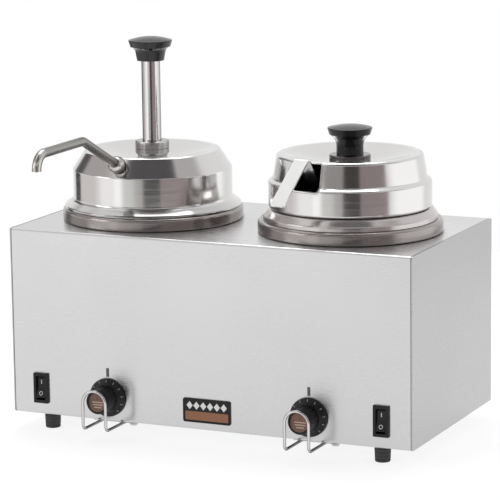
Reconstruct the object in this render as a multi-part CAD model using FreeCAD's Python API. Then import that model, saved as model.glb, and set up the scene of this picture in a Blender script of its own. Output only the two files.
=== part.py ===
"""Twin topping warmer for nacho cheese: a heated two-well counter unit in stainless steel.

The left well holds a jar with a hand pump in its lid, and the right well holds a jar with a lift-off
lid that is notched for a ladle.  Millimetres; X runs to the right, Y to the back and Z up.  The origin
is the centre of the overall footprint, spout included, at counter level.
"""
import FreeCAD, Part
import math
import os

Vec = FreeCAD.Vector
ORIGIN = Vec(0, 0, 0)
X_AXIS = Vec(1, 0, 0)
Y_AXIS = Vec(0, 1, 0)
Z_AXIS = Vec(0, 0, 1)
FULL_TURN = 360

# ---------------------------------------------------------------- driving dimensions: housing
housing_width = 430.0
housing_depth = 220.0
housing_height = 188.0
foot_height = 16.0
sheet = 1.2                       # housing sheet thickness
bend_radius = 2.5                 # outside radius of the housing's folds
return_width = 26.0               # flange folded under along the front and the back
seam_gap = 0.7                    # slit between the wrap and each side panel
well_pitch = 216.2                # distance between the two well axes
well_setback = 107.7              # well axis behind the front face
control_height = 24.0             # thermostat axis above the underside of the housing
control_x = 108.5                 # thermostat axes each side of the middle
through = 5.0                     # how far a cutting shape reaches past what it cuts
switch_x = 183.4                  # switch centres each side of the middle

# ---------------------------------------------------------------- driving dimensions: wells and jars
well_bore = 82.0                  # inside radius of a well
well_floor = -160.0               # heights in this block are above the deck
ring_radius = 91.4                # the rolled rim that stands on the deck
ring_top = 13.2
ring_foot = 0.3
well_sheet = 1.0
jar_bore = 76.0
jar_floor = -147.0
jar_rim_radius = 86.2
jar_rim_foot = 13.5
jar_sheet = 0.9

# ---------------------------------------------------------------- driving dimensions: lids and knobs
lid_sheet = 1.0
lid_wall = 80.5                   # outside radius of both lids
pump_lid_top = 70.3               # crest of the pump lid
pump_dish = 61.6                  # dished centre of the pump lid
lift_lid_top = 77.8
lift_dish = 69.5
knob_radius = 22.1

# ---------------------------------------------------------------- driving dimensions: pump and spout
plunger_radius = 9.5
stroke = 45.0
tube_radius = 4.5                 # discharge tube, outside
tube_bore = 3.5
spout_rise = 25.6                 # degrees, from the lid up to the level run
spout_level = 98.7                # height of the level run's axis
spout_reach = 242.0               # well axis to the mouth's axis
spout_mouth = 83.5
spout_bend = 15.0

# ---------------------------------------------------------------- driving dimensions: ladle
ladle_angle = -102.0              # degrees round the right well, from +X
notch_angle = -100.6
notch_width = 27.0
ladle_width = 16.0
ladle_sheet = 1.5

# ---------------------------------------------------------------- places worked out from them
gland_reach = 6.0                 # the cord gland stands this far out of the back
front_overhang = spout_reach + tube_radius - well_setback
front_y = (front_overhang - housing_depth - gland_reach) / 2
back_y = front_y + housing_depth
base_z = foot_height
deck_z = foot_height + housing_height
half_width = housing_width / 2
well_y = front_y + well_setback
sides = {"left": -1, "right": 1}


# ================================================================ shared shapes
def flat(points):
    """Turn (a, b) pairs into vectors on the drawing plane."""
    return [Vec(a, b, 0) for a, b in points]


def corner_arc(before, corner, after, radius):
    """Start, middle and end of the arc that rounds one corner."""
    back = (before - corner).normalize()
    ahead = (after - corner).normalize()
    half_turn = (math.pi - back.getAngle(ahead)) / 2
    reach = radius * math.tan(half_turn)
    bisector = (back + ahead).normalize()
    middle = corner + bisector * (radius / math.cos(half_turn) - radius)
    return corner + back * reach, middle, corner + ahead * reach


def rounded_edges(points, radii):
    """Straight runs through the points, with a tangent arc of the given radius at each inner one."""
    edges = []
    here = points[0]
    for before, corner, after, radius in zip(points, points[1:], points[2:], radii):
        if radius > 0:
            start, middle, end = corner_arc(before, corner, after, radius)
            edges.append(Part.makeLine(here, start))
            edges.append(Part.Arc(start, middle, end).toShape())
            here = end
        else:
            edges.append(Part.makeLine(here, corner))
            here = corner
    edges.append(Part.makeLine(here, points[-1]))
    return edges


def left_normal(start, end):
    """Unit vector to the left of the run from start to end."""
    run = (end - start).normalize()
    return Vec(-run.y, run.x, 0)


def shifted(points, distance):
    """The run of points moved sideways to its left, with mitred corners."""
    normals = [left_normal(start, end) for start, end in zip(points, points[1:])]
    before = [normals[0]] + normals
    after = normals + [normals[-1]]
    moved = []
    for point, one, other in zip(points, before, after):
        mitre = one + other
        moved.append(point + mitre * (distance / mitre.dot(one)))
    return moved


def sheet_outline(points, radii, thickness):
    """Closed wire round a bent sheet: it follows the points and lies to their left (right if < 0)."""
    points = flat(points)
    far_points = shifted(points, thickness)
    far_radii = []
    for before, corner, after, radius in zip(points, points[1:], points[2:], radii):
        turn = left_normal(before, corner).dot(after - corner)
        grown = radius - thickness * math.copysign(1, turn)
        far_radii.append(max(grown, 0) if radius > 0 else 0)
    near = rounded_edges(points, radii)
    far = rounded_edges(far_points[::-1], far_radii[::-1])
    first_cap = Part.makeLine(points[-1], far_points[-1])
    last_cap = Part.makeLine(far_points[0], points[0])
    return Part.Wire(near + [first_cap] + far + [last_cap])


def closed_outline(points, radii):
    """Closed wire through the points, with an arc of the given radius at each of them."""
    points = flat(points)
    middle_of_first = (points[0] + points[1]) * 0.5
    loop = [middle_of_first] + points[1:] + [points[0], middle_of_first]
    return Part.Wire(rounded_edges(loop, radii[1:] + radii[:1]))


def rectangle(half_w, half_h, radius):
    """Outline of a rectangle round the origin, with rounded corners."""
    return closed_outline([(-half_w, -half_h), (-half_w, half_h), (half_w, half_h), (half_w, -half_h)],
                          [radius] * 4)


def spun(wire):
    """Turn an outline drawn as (radius, height) once round Z."""
    wire.rotate(ORIGIN, X_AXIS, 90)
    return Part.Face(wire).revolve(ORIGIN, Z_AXIS, FULL_TURN)


def spun_points(points, radii=None):
    """Solid of revolution from closed (radius, height) points."""
    return spun(closed_outline(points, radii or [0] * len(points)))


def along_x(wire, start, length):
    """Extrude an outline drawn as (y, z) along X from x = start."""
    wire.rotate(ORIGIN, X_AXIS, 90)
    wire.rotate(ORIGIN, Z_AXIS, 90)
    wire.translate(Vec(start, 0, 0))
    return Part.Face(wire).extrude(Vec(length, 0, 0))


def along_y(wire, start, length):
    """Extrude an outline drawn as (x, z) along Y from y = start."""
    wire.rotate(ORIGIN, X_AXIS, 90)
    wire.translate(Vec(0, start, 0))
    return Part.Face(wire).extrude(Vec(0, length, 0))


def box(low, high):
    """Box between two corners."""
    size = [b - a for a, b in zip(low, high)]
    return Part.makeBox(*size, Vec(*low))


def rod(radius, start, end):
    """Plain cylinder from one point to another."""
    start = Vec(*start)
    run = Vec(*end) - start
    return Part.makeCylinder(radius, run.Length, start, run)


def ring(outer, inner, low, high):
    """Tube round Z between two heights."""
    return rod(outer, (0, 0, low), (0, 0, high)).cut(rod(inner, (0, 0, low - 1), (0, 0, high + 1)))


def wire_path(points, radii):
    """Path through (a, b) points in the upright plane that holds X."""
    path = Part.Wire(rounded_edges(flat(points), radii))
    path.rotate(ORIGIN, X_AXIS, 90)
    return path


def swept(path, radius):
    """Round bar along a path."""
    first = path.OrderedEdges[0]
    start = first.valueAt(first.FirstParameter)
    if start.distanceToPoint(path.OrderedVertexes[0].Point) > 1e-6:
        start = first.valueAt(first.LastParameter)
    section = Part.Wire(Part.makeCircle(radius, start, first.tangentAt(first.FirstParameter)))
    return path.makePipeShell([section], True, True)


def tube(path, outer, inner):
    """Round tube along a path."""
    return swept(path, outer).cut(swept(path, inner))


def to_front(shape):
    """Swing a shape drawn in the +X direction round Z, so that it points to the front."""
    shape.rotate(ORIGIN, Z_AXIS, -90)
    return shape


def at_well(shape, side, lift=0.0):
    """Move a shape drawn about Z, with heights above the deck, to its well."""
    shape.translate(Vec(sides[side] * well_pitch / 2, well_y, deck_z + lift))
    return shape


def fuse_all(shapes):
    """One solid from touching shapes."""
    whole = shapes[0]
    if len(shapes) > 1:
        whole = whole.multiFuse(shapes[1:])
    return whole.removeSplitter()


def save(node, shape):
    """Write one node, and say if it isn't sound."""
    volume = sum(solid.Volume for solid in shape.Solids)
    if not shape.isValid() or not shape.Solids or volume <= 0:
        print("UNSOUND", node)
    shape.exportStep("parts/" + node + ".step")
    print("%-26s solids %2d  volume %11.1f mm3" % (node, len(shape.Solids), volume))


def save_group(node, shapes):
    """Write several separate solids as one node."""
    save(node, Part.makeCompound(shapes))


# ================================================================ housing
deck_hole_radius = 86.0
switch_hole = (13.4, 27.2)        # width and height of the switch cut-outs
switch_z = 27.0                   # switch centre above the underside of the housing
shaft_hole_radius = 5.6
gland_hole_radius = 8.1
gland_z = 40.0
foot_x = 179.0
foot_inset = 14.0                 # foot centres from the front and back faces
base_screw_radius = 2.0
foot_screw_radius = 2.5
screw_play = 0.1
guard_screw_offset = 25.0         # guard fixing screw, to the right of the knob's axis
guard_screw_inset = 6.0

foot_places = [(x, y) for x in (-foot_x, foot_x) for y in (front_y + foot_inset, back_y - foot_inset)]
guard_screw_places = [(sides[s] * control_x + guard_screw_offset, front_y + guard_screw_inset)
                      for s in sides]
base_screw_places = [(x, back_y - foot_inset) for x in (-90.0, 0.0, 90.0)] + [(0.0, front_y + foot_inset)]
base_screw_places += [(x, front_y + foot_inset) for x in (-150.0, 150.0)]


def drill_down(shape, places, radius):
    """Holes through the folded-under flanges and the bottom plate."""
    drills = [rod(radius, (x, y, base_z - through), (x, y, base_z + 2 * sheet + 1)) for x, y in places]
    return shape.cut(Part.makeCompound(drills))


def drill_base(shape):
    """All the fixing holes that the wrap and the bottom plate share."""
    shape = drill_down(shape, base_screw_places + guard_screw_places, base_screw_radius + screw_play)
    return drill_down(shape, foot_places, foot_screw_radius + screw_play)


def body_wrap():
    """Front, deck and back in one folded sheet, with the well holes and the control cut-outs."""
    corners = [(front_y + return_width, base_z), (front_y, base_z), (front_y, deck_z),
               (back_y, deck_z), (back_y, base_z), (back_y - return_width, base_z)]
    end_room = sheet + seam_gap
    wrap = along_x(sheet_outline(corners, [bend_radius] * 4, -sheet),
                   -half_width + end_room, housing_width - 2 * end_room)
    cuts = [at_well(rod(deck_hole_radius, (0, 0, -through), (0, 0, through)), side) for side in sides]
    ahead, behind = front_y - through, front_y + through
    for sign in sides.values():
        width, height = switch_hole
        x, z = sign * switch_x, base_z + switch_z
        cuts.append(box((x - width / 2, ahead, z - height / 2), (x + width / 2, behind, z + height / 2)))
        x, z = sign * control_x, base_z + control_height
        cuts.append(rod(shaft_hole_radius, (x, ahead, z), (x, behind, z)))
    z = base_z + gland_z
    cuts.append(rod(gland_hole_radius, (0, back_y - through, z), (0, back_y + through, z)))
    return drill_base(wrap.cut(Part.makeCompound(cuts)))


def side_outline(inset):
    """Side view of the housing, moved in by an amount."""
    least_radius = 0.6
    front, back = front_y + inset, back_y - inset
    low, high = base_z + inset, deck_z - inset
    radius = max(bend_radius - inset, least_radius)
    return closed_outline([(front, low), (front, high), (back, high), (back, low)], [radius] * 4)


def side_panel(sign):
    """End cap: a flat plate with a shallow fold inside the wrap."""
    play, fold_depth = 0.2, 12.0
    fold_inset = sheet + play
    outer = sign * half_width
    plate = along_x(side_outline(0), outer, -sign * sheet)
    rim = along_x(side_outline(fold_inset), outer, -sign * fold_depth)
    hollow = along_x(side_outline(fold_inset + sheet), outer - sign * sheet, -sign * fold_depth)
    clear = box((min(0, outer), front_y, base_z), (max(0, outer), back_y, base_z + 2 * sheet + play))
    clear.translate(Vec(-sign * (sheet + seam_gap), 0, 0))
    return plate.fuse(rim.cut(hollow).cut(clear)).removeSplitter()


def bottom_plate():
    """Flat plate on the folded-under flanges, with two rows of air slots."""
    inset = bend_radius + 0.5
    slot_length, slot_width, slot_pitch, slots = 40.0, 5.0, 14.0, 5
    end_radius = slot_width / 2 - 0.01
    plate = box((-half_width + inset, front_y + inset, base_z + sheet),
                (half_width - inset, back_y - inset, base_z + 2 * sheet))
    middle_y = (front_y + back_y) / 2
    cuts = []
    for sign in sides.values():
        for index in range(slots):
            x, y = sign * well_pitch / 2, middle_y + (index - (slots - 1) / 2) * slot_pitch
            left, right = x - slot_length / 2, x + slot_length / 2
            low, high = y - slot_width / 2, y + slot_width / 2
            outline = closed_outline([(left, low), (left, high), (right, high), (right, low)],
                                     [end_radius] * 4)
            outline.translate(Vec(0, 0, base_z))
            cuts.append(Part.Face(outline).extrude(Vec(0, 0, through)))
    return drill_base(plate.cut(Part.makeCompound(cuts)))


def pan_screw(radius, head_radius, head, length, slot_width=1.0):
    """Pan-head screw that points up from z = 0, with a driver slot in its head."""
    crown, brim, taper, slot_floor = 0.8, 0.45, 0.5, 0.55     # shares of the radius and of the head
    body = spun_points([(0, -head), (head_radius * crown, -head), (head_radius, -head * brim),
                        (head_radius, 0), (radius, 0), (radius, length - radius * taper),
                        (radius * taper, length), (0, length)])
    half = slot_width / 2
    slot = box((-head_radius, -half, -head - 1), (head_radius, half, -head * slot_floor))
    return body.cut(slot)


def placed(shape, x, y, z):
    """Copy of a shape moved to a place."""
    copy = shape.copy()
    copy.translate(Vec(x, y, z))
    return copy


foot_recess = 7.0                 # the foot screw's head sits this far up inside the rubber


def rubber_foot():
    """Slightly tapered, ribbed rubber foot with a counterbored screw hole."""
    top, bottom, counterbore = 8.2, 7.5, 4.8
    top_round, bottom_round, inner_round = 0.8, 0.9, 0.3
    groove_depth, groove_width, groove_pitch, first_groove, grooves = 0.5, 1.0, 3.4, 2.4, 4
    bore = foot_screw_radius + screw_play
    foot = spun_points([(bore, foot_height), (top, foot_height), (bottom, 0), (counterbore, 0),
                        (counterbore, foot_recess), (bore, foot_recess)],
                       [0, top_round, bottom_round, inner_round, 0, 0])
    for index in range(grooves):
        low = first_groove + index * groove_pitch
        outside = bottom + (top - bottom) * (low + groove_width / 2) / foot_height
        foot = foot.cut(ring(outside + through, outside - groove_depth, low, low + groove_width))
    return foot


# ================================================================ wells and heaters
def water_well():
    """Deep-drawn well with its rolled rim standing on the deck."""
    floor_round, mouth_round, shoulder_round, foot_round, curl = 14.0, 1.4, 3.6, 1.6, 3.2
    corners = [(0, well_floor), (well_bore, well_floor), (well_bore, ring_top), (ring_radius, ring_top),
               (ring_radius, ring_foot), (ring_radius - curl, ring_foot)]
    radii = [floor_round, mouth_round, shoulder_round, foot_round]
    return spun(sheet_outline(corners, radii, -well_sheet))


heater_radius = 52.0
heater_rod = 3.8
heater_gap = 0.3


def heating_element():
    """Tubular element, one open ring under the well, with its two cold ends turned down."""
    cold_end = 12.0
    opening = math.radians(14)
    z = well_floor - well_sheet - heater_gap - heater_rod
    circle = Part.Circle(Vec(0, 0, z), Z_AXIS, heater_radius)
    path = Part.Wire(Part.Arc(circle, opening, 2 * math.pi - opening).toShape())
    loop = swept(path, heater_rod)
    ends = []
    for sign in (-1, 1):
        x = heater_radius * math.cos(opening)
        y = sign * heater_radius * math.sin(opening)
        knuckle = Part.makeSphere(heater_rod, Vec(x, y, z))
        ends += [knuckle, rod(heater_rod, (x, y, z), (x, y, z - cold_end))]
    return fuse_all([loop] + ends)


def insulation():
    """Blanket wrapped round the well's wall."""
    outside, bottom, top, play = 97.0, -125.0, -22.0, 0.5
    return ring(outside, well_bore + well_sheet + play, bottom, top)


# ================================================================ controls
knob_skirt_radius = 19.3
knob_face = 24.6                  # knob's front face ahead of the panel
insert_radius = 9.4
insert_depth = 0.9                # recess in the knob's face
shaft_radius = 3.0
guard_plane = 30.5                # guard loop ahead of the panel
guard_wire = 1.5
guard_half_width = 12.5
guard_top = 36.5                  # guard wire's highest point above the underside of the housing
bracket_sheet = 1.2


def thermostat():
    """Thermostat case behind the front panel, with its threaded shaft bush."""
    half_w, half_h, depth = 17.0, 16.6, 20.0
    bush_radius, bush_proud, bore_play, bore_depth = 5.2, 0.6, 0.06, 13.0
    tag_x, tag_low, tag_high, tag_end, half_tag = 9.0, -11.0, -4.0, 26.0, 0.4
    case = box((-half_w, sheet + 0.2, -half_h), (half_w, depth, half_h))
    bush = rod(bush_radius, (0, -bush_proud, 0), (0, sheet + 1, 0))
    bore = rod(shaft_radius + bore_play, (0, -through, 0), (0, bore_depth, 0))
    tags = [box((x - half_tag, depth - 0.5, tag_low), (x + half_tag, tag_end, tag_high))
            for x in (-tag_x, tag_x)]
    return fuse_all([case, bush] + tags).cut(bore)


def thermostat_shaft():
    """Round shaft with a flat, from the thermostat into the knob."""
    ahead, behind, flat_depth, flat_end = 18.0, 12.5, 1.0, -9.0
    shaft = rod(shaft_radius, (0, -ahead, 0), (0, behind, 0))
    flat_cut = box((-through, -ahead - 1, shaft_radius - flat_depth), (through, flat_end, through))
    return shaft.cut(flat_cut)


def thermostat_knob():
    """Wide thin skirt and a fluted barrel, hollow for the shaft, with a recess in its face."""
    skirt_back, skirt_front, barrel_face, barrel_foot = 0.9, 2.6, 12.0, 13.2
    foot_y, cone_y, cone_radius = 6.4, 4.8, 14.4
    profile = [(0, knob_face), (barrel_face, knob_face), (barrel_foot, foot_y), (cone_radius, cone_y),
               (knob_skirt_radius, skirt_front), (knob_skirt_radius, skirt_back), (0, skirt_back)]
    knob = spun_points(profile, [0, 1.5, 2.0, 1.5, 0.5, 0.2, 0])
    recess = rod(insert_radius + 0.2, (0, 0, knob_face - insert_depth), (0, 0, knob_face + 1))
    hub_play, hub_end, relief_radius, relief_end = 0.05, 18.1, 6.2, 3.0
    hub = rod(shaft_radius + hub_play, (0, 0, -1), (0, 0, hub_end))
    relief = rod(relief_radius, (0, 0, -1), (0, 0, relief_end))
    flute_count, flute_radius, flute_foot, flute_lean = 22, 1.15, 13.95, 1.0
    flutes = []
    for index in range(flute_count):
        flute = rod(flute_radius, (flute_foot, 0, foot_y - 0.2), (flute_foot - flute_lean, 0, knob_face + 1))
        flute.rotate(ORIGIN, Z_AXIS, FULL_TURN * index / flute_count)
        flutes.append(flute)
    knob = knob.cut(Part.makeCompound([recess, hub, relief] + flutes))
    knob.rotate(ORIGIN, X_AXIS, 90)
    return knob


def knob_insert():
    """Thin metal disc let into the knob's face, with a raised pointer rib."""
    sunk, proud, half_rib, rib_low, rib_high = 0.1, 0.2, 0.7, 2.5, 8.6
    disc = rod(insert_radius, (0, -knob_face + insert_depth, 0), (0, -knob_face + sunk, 0))
    rib = box((-half_rib, -knob_face - proud, rib_low), (half_rib, -knob_face + insert_depth / 2, rib_high))
    return disc.fuse(rib).removeSplitter()


def knob_guard():
    """Bent wire hoop in front of the knob; its legs run back under the housing."""
    leg_back, corner = 22.0, 5.5
    leg_z = -bracket_sheet - guard_wire
    arch_z = guard_top - guard_half_width
    diagonal = corner * (1 - math.sqrt(0.5))
    crown = Vec(0, -guard_plane, guard_top)

    def leg(x):
        """Back end, the bend's start, middle and end, and the arch's foot, on one side."""
        return [Vec(x, leg_back, leg_z), Vec(x, -guard_plane + corner, leg_z),
                Vec(x, -guard_plane + diagonal, leg_z + diagonal), Vec(x, -guard_plane, leg_z + corner),
                Vec(x, -guard_plane, arch_z)]

    end, low, middle, high, spring = leg(-guard_half_width)
    edges = [Part.makeLine(end, low), Part.Arc(low, middle, high).toShape(), Part.makeLine(high, spring)]
    far_end, far_low, far_middle, far_high, far_spring = leg(guard_half_width)
    edges += [Part.Arc(spring, crown, far_spring).toShape(), Part.makeLine(far_spring, far_high),
              Part.Arc(far_high, far_middle, far_low).toShape(), Part.makeLine(far_low, far_end)]
    return swept(Part.Wire(edges), guard_wire)


def guard_bracket():
    """Small plate that ties the guard's two legs to the underside of the housing."""
    left, front, back, past_screw = -18.0, 3.0, 20.0, 5.0
    plate = box((left, front, -bracket_sheet), (guard_screw_offset + past_screw, back, 0))
    return plate.cut(rod(base_screw_radius + screw_play, (guard_screw_offset, guard_screw_inset, -through),
                         (guard_screw_offset, guard_screw_inset, through)))


def at_control(shape, sign, above=control_height):
    """Move a shape drawn on the front panel to one of the two controls."""
    shape.translate(Vec(sign * control_x, front_y, base_z + above))
    return shape


bezel_width, bezel_height = 16.2, 30.8
bezel_proud = 2.6
rocker_width, rocker_height = 9.4, 22.4
rocker_tilt = 9.0
rocker_pivot = 1.5                # rocker axis behind the panel's face


def switch_bezel():
    """Switch case: a raised frame on the panel and the body behind it."""
    corner, edge, play, side_room, end_room = 0.8, 0.5, 0.1, 0.4, 0.9
    body_back, opening_back, tag_start, tag_end, tag_pitch = 19.0, 9.0, 18.5, 26.0, 8.0
    half_tag_width, half_tag_sheet, tiny = 3.0, 0.4, 0.01
    frame = along_y(rectangle(bezel_width / 2, bezel_height / 2, corner), -bezel_proud, bezel_proud - 0.05)
    front_edges = [e for e in frame.Edges if abs(e.BoundBox.YMin + bezel_proud) < tiny
                   and e.BoundBox.YLength < tiny]
    frame = frame.makeFillet(edge, front_edges)
    half_w, half_h = switch_hole[0] / 2 - play, switch_hole[1] / 2 - play
    body = box((-half_w, -0.2, -half_h), (half_w, body_back, half_h))
    half_w, half_h = rocker_width / 2 + side_room, rocker_height / 2 + end_room
    opening = box((-half_w, -bezel_proud - 1, -half_h), (half_w, opening_back, half_h))
    tag = box((-half_tag_width, tag_start, -half_tag_sheet), (half_tag_width, tag_end, half_tag_sheet))
    tags = [placed(tag, 0, 0, z) for z in (-tag_pitch, 0, tag_pitch)]
    return fuse_all([frame, body] + tags).cut(opening)


def switch_rocker():
    """Rocker with a shallow V face, tilted with its upper half pressed in."""
    half = rocker_height / 2
    valley, tip, back = -1.6, -3.1, 3.4
    back_half = half * 0.45
    outline = closed_outline([(tip, -half), (valley, 0), (tip, half), (back, back_half), (back, -back_half)],
                             [0.5, 6.0, 0.5, 1.0, 1.0])
    rocker = along_x(outline, -rocker_width / 2, rocker_width)
    rocker.translate(Vec(0, rocker_pivot, 0))
    rocker.rotate(Vec(0, rocker_pivot, 0), X_AXIS, -rocker_tilt)
    return rocker


def at_switch(shape, sign):
    """Move a shape drawn on the front panel to one of the two switches."""
    shape.translate(Vec(sign * switch_x, front_y, base_z + switch_z))
    return shape


plate_width, plate_height, plate_z = 51.4, 24.2, 19.6


def name_plate():
    """Blank badge with a raised rim, stuck to the front."""
    half_w, half_h = plate_width / 2, plate_height / 2
    thickness, rim, floor, corner, inner_corner = 1.0, 1.1, 0.7, 2.2, 1.4
    slab = along_y(rectangle(half_w, half_h, corner), -thickness, thickness)
    inner = rectangle(half_w - rim, half_h - rim, inner_corner)
    recess = along_y(inner, -thickness - 1, thickness + 1 - floor)
    badge = slab.cut(recess)
    badge.translate(Vec(0, front_y, base_z + plate_z))
    return badge


def index_marks():
    """Two short painted lines above the knobs, as thin inlays."""
    half_line, depth, low, high = 1.5, 0.25, 44.8, 53.6
    return [box((x - half_line, front_y - depth, base_z + low), (x + half_line, front_y, base_z + high))
            for x in (-control_x, control_x)]


def cord_gland():
    """Round bush in the back panel, open for a supply cord."""
    bore, nose, flange, flange_edge, inside = 5.0, 10.5, 12.0, 1.5, 9.0
    neck = gland_hole_radius - 0.1
    gland = spun_points([(bore, -gland_reach), (nose, -gland_reach), (flange, -flange_edge), (flange, 0),
                         (neck, 0), (neck, inside), (bore, inside)],
                        [1.0, 1.5, 0.6, 0, 0, 0.8, 0.8])
    gland.rotate(ORIGIN, X_AXIS, 90)
    gland.translate(Vec(0, back_y, base_z + gland_z))
    return gland


terminal_y = 107.0                # terminal block behind the front face
terminal_places = (-14.0, 0.0, 14.0)


def terminal_block():
    """Supply terminals on the bottom plate between the wells."""
    half_w, half_d, height, slot_reach = 22.0, 12.0, 14.0, 13.0
    hole, hole_low, half_slot, slot_low, slot_high = 3.2, 8.0, 2.5, 2.5, 7.0
    y, floor = front_y + terminal_y, base_z + 2 * sheet
    block = box((-half_w, y - half_d, floor), (half_w, y + half_d, floor + height))
    holes = [rod(hole, (x, y, floor + hole_low), (x, y, floor + height + 1)) for x in terminal_places]
    slot = box((-half_slot, y - slot_reach, floor + slot_low), (half_slot, y + slot_reach, floor + slot_high))
    slots = [placed(slot, x, 0, 0) for x in terminal_places]
    return block.cut(Part.makeCompound(holes + slots))


def terminal_screws():
    """Clamp screws in the terminal block."""
    radius, head_radius, head, length, height = 1.6, 2.9, 1.8, 3.5, 12.0
    screw = pan_screw(radius, head_radius, head, length)
    screw.rotate(ORIGIN, X_AXIS, 180)
    return [placed(screw, x, front_y + terminal_y, base_z + 2 * sheet + height) for x in terminal_places]


# ================================================================ jars
def jar(rim, rim_radii):
    """Deep jar that hangs in the well by its sloping rim, drawn from the bore's top outwards."""
    floor_radius, mouth_radius = 12.0, 1.2
    corners = [(0, jar_floor), (jar_bore, jar_floor)] + rim + [(jar_rim_radius, jar_rim_foot)]
    return spun(sheet_outline(corners, [floor_radius, mouth_radius] + rim_radii, -jar_sheet))


def pump_jar():
    """Jar whose low rim fits inside the pump lid's flare."""
    return jar([(jar_bore, 19.8), (jar_rim_radius, 15.6)], [1.2])


def ladle_jar():
    """Jar whose high crowned rim carries the lift-off lid."""
    return jar([(jar_bore, 24.6), (jar_bore + 4.6, 24.2), (jar_rim_radius, 17.6)], [5.0, 3.0])


# ================================================================ pump
chamfer_foot = 51.5               # where the pump lid's wall turns in
crest_radius = 68.3
neck_radius = 12.9
rise = math.radians(spout_rise)
spout_dir = Vec(math.cos(rise), 0, math.sin(rise))
boss_point = Vec(73.7, 0, 62.6)   # where the discharge axis leaves the lid's chamfer
fitting_radius = 6.2              # threaded neck of the fitting there


def on_spout_axis(distance):
    """Point on the sloping part of the discharge axis."""
    point = boss_point + spout_dir * distance
    return (point.x, point.y, point.z)


tube_fit = 0.02                   # the tubes are a snug fit in their sockets


def pump_lid():
    """Lid with a flared skirt, a chamfered shoulder and a dished top, holed for the pump and the spout."""
    skirt, skirt_top, flare_top, crest_inside, dish_radius = 89.2, 15.5, 21.5, 62.5, 30.0
    corners = [(skirt, jar_rim_foot), (skirt, skirt_top), (lid_wall, flare_top), (lid_wall, chamfer_foot),
               (crest_radius, pump_lid_top), (crest_inside, pump_lid_top), (dish_radius, pump_dish),
               (neck_radius + 0.2, pump_dish)]
    radii = [1.8, 4.0, 2.4, 3.0, 3.0, 14.0]
    lid = spun(sheet_outline(corners, radii, lid_sheet))
    reach = 8.0
    return lid.cut(to_front(rod(fitting_radius + 0.2, on_spout_axis(-reach), on_spout_axis(reach))))


collar_foot, collar_top = 64.5, 78.9
collar_roof = 76.0                # underside of the collar's top


def locking_collar():
    """Threaded collar round the plunger, with a groove between its two tiers."""
    outer, cone, cone_height = 17.2, 1.6, 2.2
    groove, groove_low, groove_high, groove_slope = 0.7, 70.7, 71.6, 0.3
    thread, hole = neck_radius + 0.05, plunger_radius + 0.08
    profile = [(thread, collar_foot), (outer - cone, collar_foot), (outer, collar_foot + cone_height),
               (outer, groove_low), (outer - groove, groove_low + groove_slope),
               (outer - groove, groove_high - groove_slope), (outer, groove_high),
               (outer, collar_top), (hole, collar_top), (hole, collar_roof), (thread, collar_roof)]
    return spun_points(profile, [0.4, 0.8, 0.8, 0, 0, 0, 0, 1.2, 0.4, 0, 0])


def collar_washer():
    """Gasket between the collar and the lid."""
    outside, play = 15.0, 0.3
    return ring(outside, neck_radius + 0.1, pump_dish, collar_foot - play)


cylinder_foot = -94.0
cylinder_bore = 13.5
barrel_radius = 15.5
shoulder_top = pump_dish - lid_sheet


def pump_cylinder():
    """Pump barrel: a threaded neck above the lid, a shoulder under it and the bore below."""
    throat, shoulder, shoulder_edge, shoulder_slope = 10.4, 19.0, 3.0, 2.0
    top, bore_top, throat_foot = collar_roof - 0.3, 50.0, 52.5
    profile = [(throat, top), (neck_radius, top), (neck_radius, shoulder_top), (shoulder, shoulder_top),
               (shoulder, shoulder_top - shoulder_edge),
               (barrel_radius, shoulder_top - shoulder_edge - shoulder_slope), (barrel_radius, cylinder_foot),
               (cylinder_bore, cylinder_foot), (cylinder_bore, bore_top), (throat, throat_foot)]
    return spun_points(profile, [0.3, 0.5, 0, 0.5, 0.5, 1.0, 0.4, 0.4, 0, 0])


valve_floor = -132.0
inlet_seat = -125.0               # edge that the inlet ball sits on
inlet_hole = 4.4
inlet_ball_radius = 5.6
chamber_radius = 9.5
arm_z = -112.0
riser_x = 38.0                    # riser in front of the pump's axis
outlet_seat = -108.0
outlet_hole = 2.4
outlet_ball_radius = 3.4
ball_lift = 0.3                   # the balls stand this clear of their seats
riser_foot = -97.5
riser_bend = 12.0
riser_end = 2.5                   # riser and spout end this far and a little less inside the chamfer
spout_start = 1.6


def valve_body():
    """Foot valve: a cup over the barrel's foot, an inlet seat below and an outlet arm in front."""
    cup_radius, cup_top, cup_cone, cage_radius, cage_top, cage_cone = 19.0, -82.0, 8.0, 7.4, -114.0, 3.0
    nose = cup_radius - 5.0
    socket = barrel_radius + 0.06
    profile = [(inlet_hole, valve_floor), (nose, valve_floor), (cup_radius, valve_floor + cup_cone),
               (cup_radius, cup_top), (socket, cup_top), (socket, cylinder_foot),
               (chamber_radius, cylinder_foot), (chamber_radius, cage_top), (cage_radius, cage_top),
               (cage_radius, inlet_seat + cage_cone), (inlet_hole, inlet_seat)]
    cup = spun_points(profile, [0.5, 1.5, 2.0, 0.8, 0.3, 0, 0, 0, 0, 0, 0])
    arm_radius, elbow_radius, elbow_top, wall = 7.0, 8.4, -88.0, 1.5
    limb = fuse_all([rod(arm_radius, (cup_radius - 4, 0, arm_z), (riser_x, 0, arm_z)),
                     rod(elbow_radius, (riser_x, 0, arm_z), (riser_x, 0, elbow_top)),
                     Part.makeSphere(elbow_radius, Vec(riser_x, 0, arm_z))])
    limb = limb.cut(rod(cup_radius - wall, (0, 0, valve_floor), (0, 0, cup_top)))
    channel, channel_z = 3.0, arm_z - 1.5
    above = elbow_top + through
    channels = [rod(channel, (chamber_radius - 1, 0, channel_z), (riser_x, 0, channel_z)),
                Part.makeSphere(channel, Vec(riser_x, 0, channel_z)),
                rod(outlet_hole, (riser_x, 0, channel_z), (riser_x, 0, outlet_seat)),
                rod(tube_radius + 0.1, (riser_x, 0, outlet_seat), (riser_x, 0, above))]
    return to_front(fuse_all([cup, limb]).cut(Part.makeCompound(channels)))


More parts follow.
